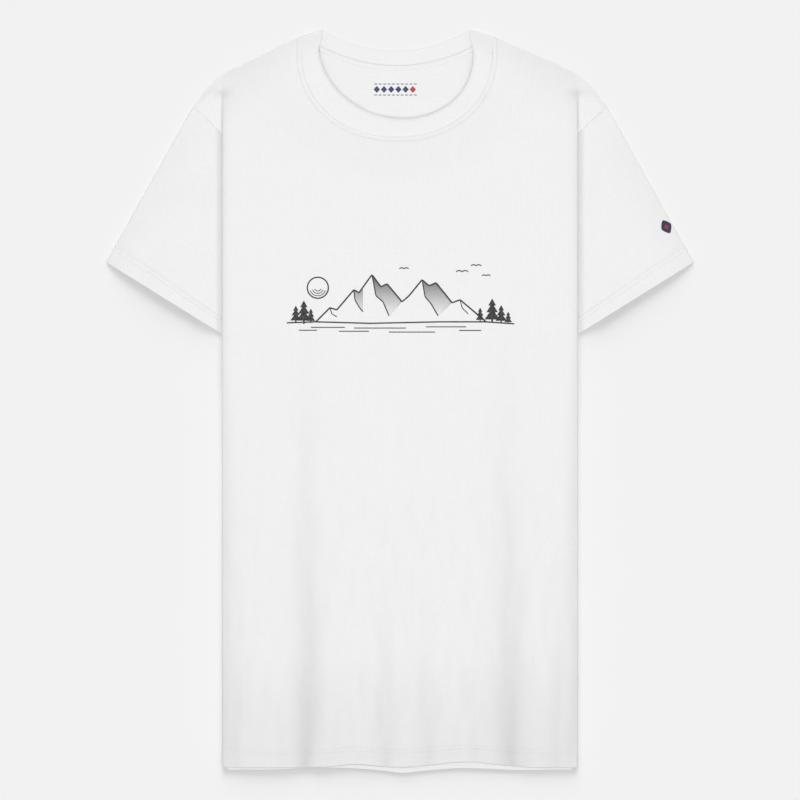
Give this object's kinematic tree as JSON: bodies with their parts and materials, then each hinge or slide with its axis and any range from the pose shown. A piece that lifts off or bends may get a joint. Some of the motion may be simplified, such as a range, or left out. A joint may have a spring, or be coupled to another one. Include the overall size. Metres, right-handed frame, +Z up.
{
  "type": "short-sleeve crew-neck t-shirt laid flat",
  "caption": "White cotton crew-neck T-shirt laid flat with its sides turned under, ribbed neck, short hemmed sleeves, open body and neck.",
  "frame": {"origin": "on the floor under the middle of the shirt as laid", "axes": "+Y from the bottom hem to the neck, +X towards the wearer's left sleeve, +Z up through the front of the shirt"},
  "size_m": [0.5868, 0.7404, 0.0124],
  "materials": {
    "jersey": "matt white single jersey",
    "rib": "matt white knitted rib",
    "tape": "white cotton tape",
    "embroidery": "navy and red embroidery thread"
  },
  "bodies": {
    "root": {"front_panel": "jersey", "back_panel": "jersey", "front_bottom_hem": "jersey", "back_bottom_hem": "jersey", "left_side_turned_under": "jersey", "right_side_turned_under": "jersey", "left_sleeve": "jersey", "right_sleeve": "jersey", "left_sleeve_hem": "jersey", "right_sleeve_hem": "jersey", "neck_rib": "rib", "neck_tape": "tape", "sleeve_badge": "embroidery"}
  },
  "joints": []
}
